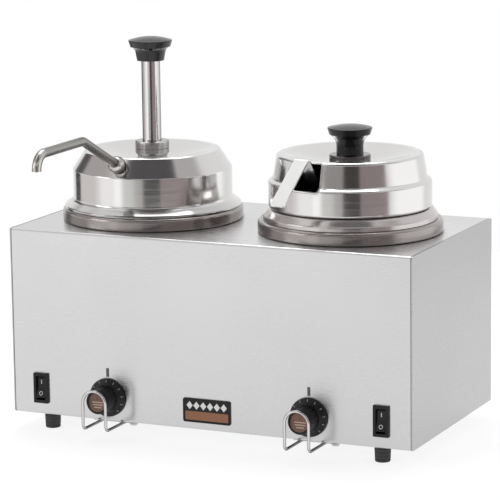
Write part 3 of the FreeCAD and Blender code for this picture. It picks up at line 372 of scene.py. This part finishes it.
def add_wire(name, points, radius, material, closed=False):
    """Round wire along points, as a mesh object."""
    curve = bpy.data.curves.new(name + "_line", "CURVE")
    curve.dimensions = "3D"
    curve.bevel_depth = radius
    curve.bevel_resolution = 3
    curve.use_fill_caps = not closed
    line = curve.splines.new("POLY")
    line.points.add(len(points) - 1)
    for point, place in zip(line.points, points):
        point.co = (*place, 1)
    line.use_cyclic_u = closed
    shape = bpy.data.objects.new(name + "_line", curve)
    mesh = bpy.data.meshes.new_from_object(shape)
    bpy.data.objects.remove(shape)
    for face in mesh.polygons:
        face.use_smooth = True
    mesh.materials.clear()
    mesh.materials.append(material)
    wire = bpy.data.objects.new(name, mesh)
    bpy.context.scene.collection.objects.link(wire)
    return wire


def add_spring(material, wire=0.8 * mm, turns=13, steps=24):
    """Pump spring as a helix of round wire, carried with the pump."""
    low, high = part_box("pump_spring")
    centre = middle_of("pump_spring")
    coil = (high.x - low.x) / 2 - wire
    foot, head = low.z + wire, high.z - wire
    points = []
    for index in range(turns * steps + 1):
        share = index / (turns * steps)
        angle = 2 * math.pi * turns * share
        points.append((centre.x + coil * math.cos(angle), centre.y + coil * math.sin(angle),
                       foot + (head - foot) * share))
    spring = add_wire("pump_spring_coil", points, wire, material)
    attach(spring, "pump")
    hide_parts("pump_spring")
    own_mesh(spring)


def paint_pump():
    """Pump, spout and knob."""
    centre = well_axis["left"]
    # the flared foot, from the lid's bottom up to flare_top, gets painted shade
    flare_height = 7.0 * mm
    flare_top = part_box("pump_lid")[0].z + flare_height
    paint(spun_metal("pump_lid_steel", mirror, centre, (0.10, 0.16), painted_shade_below=flare_top), "pump_lid")
    # edge values below 1 paint shade onto the grazing sides of the collar, tube and plunger
    paint(spun_metal("collar_steel", bright, centre, (0.08, 0.14), edge=0.35), "locking_collar")
    paint(bright_metal("tube_steel", (0.66, 0.64, 0.61), (0.24, 0.28), edge=0.2, peeled=0.015),
          "discharge_spout", "spout_nut", "discharge_fitting", "discharge_riser",
          "inlet_ball", "outlet_ball")
    paint(spun_metal("plunger_steel", bright, centre, (0.08, 0.14), edge=0.25), "plunger_tube",
          "pump_cylinder", "valve_body")
    spring_wire = bright_metal("spring_wire", (0.6, 0.6, 0.6), (0.15, 0.3))
    paint(spring_wire, "pump_spring")
    add_spring(spring_wire)
    paint(moulded_plastic("knob_black", (0.006, 0.006, 0.007), (0.16, 0.24), 400.0, 0.006, shine=0.5),
          "pump_knob", "lid_knob")
    paint(moulded_plastic("white_acetal", (0.85, 0.85, 0.82), (0.3, 0.4)), "piston")
    paint(rubber("seal_silicone", (0.6, 0.6, 0.58)), "piston_seal", "collar_washer")


def paint_lift_lid():
    """Lift-off lid and ladle."""
    centre = well_axis["right"]
    paint(spun_metal("lift_lid_steel", mirror, centre, (0.10, 0.16)), "lift_lid")
    # the flange's dark colour is a painted reflection of the black knob in the lid top
    paint(spun_metal("flange_painted_reflection", (0.15, 0.14, 0.14), centre, (0.12, 0.2)), "knob_flange")
    paint(bright_metal("ladle_steel", (0.76, 0.76, 0.75), (0.16, 0.2), peeled=0.015), "ladle_handle")
    paint(spun_metal("bowl_steel", (0.66, 0.66, 0.65), middle_of("ladle_bowl"), (0.12, 0.2)), "ladle_bowl")


# ================================================================ printed and raised details
def hit_from(node, start, heading):
    """Point and outward normal where a line first meets a CAD node."""
    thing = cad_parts[node]
    into = thing.matrix_world.inverted()
    found, place, normal, _ = thing.ray_cast(into @ start, (into.to_3x3() @ heading).normalized())
    if not found:
        raise RuntimeError("nothing of " + node + " in the way")
    return thing.matrix_world @ place, (thing.matrix_world.to_3x3() @ normal).normalized()


def front_of(node, x, z):
    """Where a level line from well in front of the object meets a node."""
    run_up = 0.1
    return hit_from(node, Vector((x, cad_low.y - run_up, z)), Vector((0, 1, 0)))


class Tile:
    """A thin bevelled shape on a surface: outline points are (across, up) from its place."""

    def __init__(self, outline, place, normal, up):
        self.outline = outline
        self.place = place
        self.normal = normal
        self.across = up.cross(normal).normalized()
        self.up = normal.cross(self.across)

    def ring(self, mesh, height, inset):
        """One loop of the tile's side wall, moved in towards the middle."""
        made = []
        for across, up in self.outline:
            length = math.hypot(across, up)
            shrink = max(0.0, 1 - inset / length)
            spot = self.place + (self.across * across + self.up * up) * shrink + self.normal * height
            made.append(mesh.verts.new(spot))
        return made


def add_tiles(name, tiles, thickness, material, body, bevel=0.12 * mm, sunk=0.08 * mm):
    """One object from several tiles, each sunk a little into its surface and bevelled at its face."""
    mesh = bmesh.new()
    for tile in tiles:
        rings = [tile.ring(mesh, -sunk, 0), tile.ring(mesh, thickness - bevel, 0),
                 tile.ring(mesh, thickness, bevel)]
        count = len(tile.outline)
        for low, high in zip(rings, rings[1:]):
            for i in range(count):
                j = (i + 1) % count
                mesh.faces.new((low[i], low[j], high[j], high[i]))
        mesh.faces.new(rings[-1])
        mesh.faces.new(rings[0][::-1])
    bmesh.ops.recalc_face_normals(mesh, faces=mesh.faces)
    data = bpy.data.meshes.new(name)
    mesh.to_mesh(data)
    mesh.free()
    data.materials.append(material)
    made = bpy.data.objects.new(name, data)
    bpy.context.scene.collection.objects.link(made)
    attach(made, body)


def rounded_block(width, height, corner, steps=4):
    """Outline of a rectangle with round corners, as (across, up) points."""
    points = []
    for quarter, (sx, sy) in enumerate(((1, 1), (-1, 1), (-1, -1), (1, -1))):
        middle = (sx * (width / 2 - corner), sy * (height / 2 - corner))
        for step in range(steps + 1):
            angle = (quarter + step / steps) * math.pi / 2
            points.append((middle[0] + corner * math.cos(angle), middle[1] + corner * math.sin(angle)))
    return points


def lozenge(width, height):
    """Outline of an upright diamond."""
    return [(width / 2, 0), (0, height / 2), (-width / 2, 0), (0, -height / 2)]


def add_badge_art():
    """Plain decoration on the badge: a row of pale lozenges over an amber band."""
    low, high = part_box("name_plate")
    middle = (low + high) / 2
    width, height = high.x - low.x, high.z - low.z
    count, thickness = 6, 0.3 * mm
    pitch = 0.86 * width / count
    lozenge_width, lozenge_height = 0.92 * pitch, 0.3375 * height
    band_width, band_height, band_corner = 0.9 * width, 0.36 * height, 0.8 * mm
    row_z, band_z = middle.z + 0.2 * height, middle.z - 0.22 * height
    row = []
    for index in range(count):
        x = middle.x + (index - (count - 1) / 2) * pitch
        place, normal = front_of("name_plate", x, row_z)
        row.append(Tile(lozenge(lozenge_width, lozenge_height), place, normal, upright))
    silver = printed("badge_silver", (0.80, 0.80, 0.79))
    add_tiles("badge_lozenges", row, thickness, silver, "root")
    place, normal = front_of("name_plate", middle.x, band_z)
    band = Tile(rounded_block(band_width, band_height, band_corner), place, normal, upright)
    amber = moulded_plastic("badge_amber", (0.30, 0.135, 0.075), (0.2, 0.35), 500.0)
    add_tiles("badge_band", [band], thickness, amber, "root")


def add_dial_marks():
    """Raised scale round each dial's skirt, and short bars on the disc in its face."""
    ticks, start, sweep = 11, math.radians(-135), math.radians(270)
    tick_circle = 0.885                       # radius of the scale, as a share of the skirt's
    tick_width, tick_length, tick_corner = 0.8 * mm, 2.6 * mm, 0.3 * mm
    tick_height, bar_height = 0.25 * mm, 0.2 * mm
    bar_rows = ((-0.5, 0.9), (-0.22, 1.2), (0.06, 1.3))     # height and length, in disc radii
    bar_shift, bar_width, bar_corner = 0.12, 0.12, 0.05     # in disc radii too
    silver = printed("scale_silver", (0.3, 0.3, 0.3))
    copper = printed("disc_copper", (0.5, 0.38, 0.30))
    for side in sides:
        centre = dial_axis[side]
        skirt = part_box("thermostat_knob_" + side)[1].x - centre.x
        scale = []
        for index in range(ticks):
            angle = start + sweep * index / (ticks - 1)
            out = Vector((math.sin(angle), 0, math.cos(angle)))
            spot = centre + out * tick_circle * skirt
            place, normal = front_of("thermostat_knob_" + side, spot.x, spot.z)
            outline = rounded_block(tick_width, tick_length, tick_corner)
            scale.append(Tile(outline, place, normal, out))
        add_tiles("dial_scale_" + side, scale, tick_height, silver, "dial_" + side)
        bars = []
        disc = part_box("knob_insert_" + side)[1].x - centre.x
        for row, length in bar_rows:
            place, normal = front_of("knob_insert_" + side, centre.x + bar_shift * disc,
                                     centre.z + row * disc)
            outline = rounded_block(length * disc, bar_width * disc, bar_corner * disc)
            bars.append(Tile(outline, place, normal, upright))
        add_tiles("dial_bars_" + side, bars, bar_height, copper, "dial_" + side)


def notch_span():
    """Where the lift-off lid is open: the middle angle, half the width, and the foot and head heights."""
    axis = well_axis["right"]
    low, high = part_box("lift_lid")
    wall = (high.x - low.x) / 2
    tier = 0.93 * wall                    # the upper tier's wall, where the notch is cut
    open_depth = 0.8 * wall               # a line that gets this near the axis has gone through the notch
    first_angle, angle_step, angle_count, level_count = -140, 0.25, 320, 250

    def is_open(angle, height):
        """Whether a level line towards the lid's axis goes in through the notch."""
        out = Vector((math.cos(angle), math.sin(angle), 0))
        start = Vector((axis.x, axis.y, height)) + out * 2 * wall
        place, _ = hit_from("lift_lid", start, -out)
        return (place - Vector((axis.x, axis.y, height))).dot(out) < open_depth

    middle_height = low.z + 0.8 * (high.z - low.z)
    angles = [math.radians(first_angle + angle_step * i) for i in range(angle_count)]
    gap = [angle for angle in angles if is_open(angle, middle_height)]
    middle = (gap[0] + gap[-1]) / 2
    levels = [low.z + (high.z - low.z) * i / level_count for i in range(1, level_count)]
    open_levels = [level for level in levels if is_open(middle, level)]
    half_width = tier * math.sin((gap[-1] - gap[0]) / 2)
    return middle, half_width, open_levels[0], open_levels[-1]


def add_notch_bead(radius=1.0 * mm, step=1.0 * mm):
    """Rolled edge round the notch in the lift-off lid, laid along the lid's own surface."""
    angle, half_width, foot, head = notch_span()
    out = Vector((math.cos(angle), math.sin(angle), 0))
    sideways = upright.cross(out)
    centre = Vector((well_axis["right"].x, well_axis["right"].y, (foot + head) / 2))
    corner, outside = 2.4 * mm, 0.2       # the notch's corner radius, and a start well clear of the lid
    corners = rounded_block(2 * (half_width + radius), head - foot + 2 * radius, corner, steps=3)
    path = []
    for (x0, z0), (x1, z1) in zip(corners, corners[1:] + corners[:1]):
        parts = max(1, round(math.hypot(x1 - x0, z1 - z0) / step))
        for part in range(parts):
            across, rise = x0 + (x1 - x0) * part / parts, z0 + (z1 - z0) * part / parts
            start = centre + sideways * across + upright * rise + out * outside
            path.append(hit_from("lift_lid", start, -out)[0])
    # edge 0.4 paints shade onto the bead's grazing sides
    bead_steel = spun_metal("bead_steel", bright, well_axis["right"], (0.1, 0.16), edge=0.4)
    bead = add_wire("notch_bead", path, radius, bead_steel, closed=True)
    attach(bead, "lift_lid")


def add_rocker_marks():
    """The on and off marks on each rocker: a bar above and a ring below."""
    white = printed("mark_white", (0.7, 0.7, 0.7))
    bar_outline = rounded_block(0.9 * mm, 4.2 * mm, 0.3 * mm)
    dot_outline = rounded_block(1.15 * mm, 0.7 * mm, 0.2 * mm)
    thickness, ring_radius, dot_count = 0.15 * mm, 1.7 * mm, 10
    for side in sides:
        node = "switch_rocker_" + side
        middle = middle_of(node)
        low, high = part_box(node)
        reach = 0.28 * (high.z - low.z)
        place, normal = front_of(node, middle.x, middle.z + reach)
        bar = Tile(bar_outline, place, normal, upright)
        dots = []
        for index in range(dot_count):
            angle = 2 * math.pi * index / dot_count
            place, normal = front_of(node, middle.x + ring_radius * math.cos(angle),
                                     middle.z - reach + ring_radius * math.sin(angle))
            out = Vector((math.cos(angle), 0, math.sin(angle)))
            dots.append(Tile(dot_outline, place, normal, out))
        add_tiles("rocker_marks_" + side, [bar] + dots, thickness, white, "rocker_" + side)


# ================================================================ stage, light and camera
camera_azimuth = math.radians(24.59)     # round to the right of straight ahead
camera_elevation = math.radians(10.85)
camera_roll = math.radians(-0.74)
camera_distance = 2.746
camera_lens = 202.05                     # millimetres, on the standard 36 mm sensor
aim_right, aim_up = 0.0417, 0.1769       # picture centre from the housing's lower front edge

toward_camera = Vector((math.sin(camera_azimuth) * math.cos(camera_elevation),
                        -math.cos(camera_azimuth) * math.cos(camera_elevation),
                        math.sin(camera_elevation)))
camera_right = Vector((math.cos(camera_azimuth), math.sin(camera_azimuth), 0))


def make_camera():
    """Long-lens camera, a little above the deck and to the right of the front."""
    up = toward_camera.cross(camera_right)
    rolled_right = camera_right * math.cos(camera_roll) + up * math.sin(camera_roll)
    rolled_up = up * math.cos(camera_roll) - camera_right * math.sin(camera_roll)
    start = Vector((0, front_y, base_z))
    place = start + rolled_right * aim_right + rolled_up * aim_up + toward_camera * camera_distance
    data = bpy.data.cameras.new("camera")
    data.lens = camera_lens
    camera = bpy.data.objects.new("camera", data)
    turn = Matrix((rolled_right, rolled_up, toward_camera)).transposed()
    camera.matrix_world = Matrix.Translation(place) @ turn.to_4x4()
    bpy.context.scene.collection.objects.link(camera)
    bpy.context.scene.camera = camera


def make_floor(radius=1.0, rim_points=128):
    """Plain pale floor disc under the feet, lit softly from within so that it stays pale in the shade."""
    angles = [2 * math.pi * i / rim_points for i in range(rim_points)]
    rim = [(radius * math.cos(angle), radius * math.sin(angle), 0) for angle in angles]
    mesh = bpy.data.meshes.new("floor")
    mesh.from_pydata(rim, [], [tuple(range(rim_points))])
    floor = bpy.data.objects.new("floor", mesh)
    bpy.context.scene.collection.objects.link(floor)
    finish = Finish("floor_paint", (0.3, 0.3, 0.3), roughness=0.9, Specular_IOR_Level=0.0,
                    Emission_Color=(1, 1, 1, 1), Emission_Strength=0.8)
    mesh.materials.append(finish.material)


class Card:
    """A patch of the studio, by direction: azimuth right of the camera's side and elevation, in degrees."""

    def __init__(self, azimuth, elevation, colour, softness=2.0):
        self.azimuth = azimuth
        self.elevation = elevation
        self.colour = colour
        self.softness = softness


below, level, above = (-90, -2), (-2, 25), (36, 80)     # what walls, the sloping tier and the chamfer show
warm_grey, black = (0.32, 0.265, 0.27), (0.07, 0.064, 0.064)
glare = (1.28, 1.28, 1.28)
studio_cards = [
    # high up, seen in the chamfer, the flared foot and the dished tops
    Card((-52, 50), above, (0.105, 0.10, 0.105), 6.0),
    Card((-135, -58), (12, 46), (0.50, 0.46, 0.46), 7.0),
    Card((-142, -88), (49, 72), (1.1, 1.1, 1.1), 4.0),
    Card((50, 92), (28, 62), (0.55, 0.53, 0.53), 8.0),
    # to the right, seen in the right side of the walls
    Card((60, 122), (-90, 20), glare, 8.0),
    # behind on the left, and straight up
    Card((-150, -128), (2, 30), (0.12, 0.11, 0.11), 4.0),
    Card((-200, 200), (75, 95), (0.20, 0.18, 0.175), 5.0),
    # to the left, seen in the left side of the walls and of the sloping tier
    Card((-80, -43), below, (1.15, 1.15, 1.15), 4.0),
    Card((-56, -43), below, (1.35, 1.33, 1.33), 3.0),
    Card((-43, -26), below, (0.76, 0.77, 0.75), 5.0),
    Card((-26, -10), below, (0.50, 0.49, 0.48), 6.0),
    Card((-43, -10), level, (0.36, 0.35, 0.34), 4.0),
    Card((-128, -88), below, (0.78, 0.73, 0.73), 6.0),
    Card((-147, -127), below, black, 2.0),
    # around the camera, seen in the middle of the walls
    Card((-13, 53), (-90, 25), warm_grey, 2.5),
    Card((-12, 12), (-90, 25), black, 2.0),
]


def make_world(studio_white=0.93, sky_white=1.0):
    """White studio with grey cards, seen in reflections; the camera sees it plain."""
    world = bpy.data.worlds.new("studio")
    bpy.context.scene.world = world
    world.use_nodes = True
    tree = world.node_tree

    def node(kind, inputs=(), **settings):
        return add_node(tree, kind, inputs, **settings)

    direction = node("TexCoord").outputs["Generated"]
    level_front = Vector((toward_camera.x, toward_camera.y, 0)).normalized()

    def along(axis):
        """How far the direction points along an axis."""
        dotted = node("VectorMath", [(0, direction), (1, tuple(axis))], operation="DOT_PRODUCT")
        return dotted.outputs["Value"]

    rightward, frontward = along(camera_right), along(level_front)
    azimuth = node("Math", [(0, rightward), (1, frontward)], operation="ARCTAN2").outputs[0]
    height = node("SeparateXYZ", [(0, direction)]).outputs["Z"]
    elevation = node("Math", [(0, height)], operation="ARCSINE").outputs[0]

    def within(angle, span, softness):
        """1 inside a span of angles, fading to 0 over the softness."""
        middle = math.radians(sum(span) / 2)
        half = math.radians((span[1] - span[0]) / 2)
        soft = math.radians(softness)
        offset = node("Math", [(0, angle), (1, middle)], operation="SUBTRACT").outputs[0]
        distance = node("Math", [(0, offset)], operation="ABSOLUTE").outputs[0]
        return node("MapRange", [("Value", distance), ("From Min", half + soft), ("From Max", half - soft),
                                 ("To Min", 0.0), ("To Max", 1.0)],
                    interpolation_type="SMOOTHSTEP").outputs["Result"]

    colour = node("RGB").outputs[0]
    colour.default_value = (studio_white, studio_white, studio_white, 1)
    for card in studio_cards:
        mask = node("Math", [(0, within(azimuth, card.azimuth, card.softness)),
                             (1, within(elevation, card.elevation, card.softness))],
                    operation="MULTIPLY").outputs[0]
        mixed = node("Mix", [(0, mask), (6, colour), (7, (*card.colour, 1))], data_type="RGBA")
        colour = mixed.outputs[2]
    seen = node("Mix", [(0, node("LightPath").outputs["Is Camera Ray"]), (6, colour),
                        (7, (sky_white, sky_white, sky_white, 1))], data_type="RGBA").outputs[2]
    tree.links.new(seen, tree.nodes["Background"].inputs["Color"])


def softbox(name, place, size, power):
    """Square area light that faces the middle of the object."""
    data = bpy.data.lights.new(name, "AREA")
    data.size = size
    data.energy = power
    lamp = bpy.data.objects.new(name, data)
    aim = (cad_low + cad_high) / 2
    lamp.location = place
    lamp.rotation_mode = "QUATERNION"
    lamp.rotation_quaternion = (aim - Vector(place)).to_track_quat("-Z", "Y")
    bpy.context.scene.collection.objects.link(lamp)


def make_lights():
    """One broad light above and one low fill."""
    softbox("top_light", place=(-0.4, 0.9, 2.6), size=1.6, power=30)
    softbox("left_fill", place=(-2.2, -1.6, 1.2), size=1.2, power=8)


# ================================================================ put it together
bpy.context.scene.view_settings.view_transform = "Standard"
make_camera()
make_world()
make_floor()
make_lights()
paint_housing()
paint_controls()
paint_wells()
paint_pump()
paint_lift_lid()
add_badge_art()
add_dial_marks()
add_rocker_marks()
add_notch_bead()
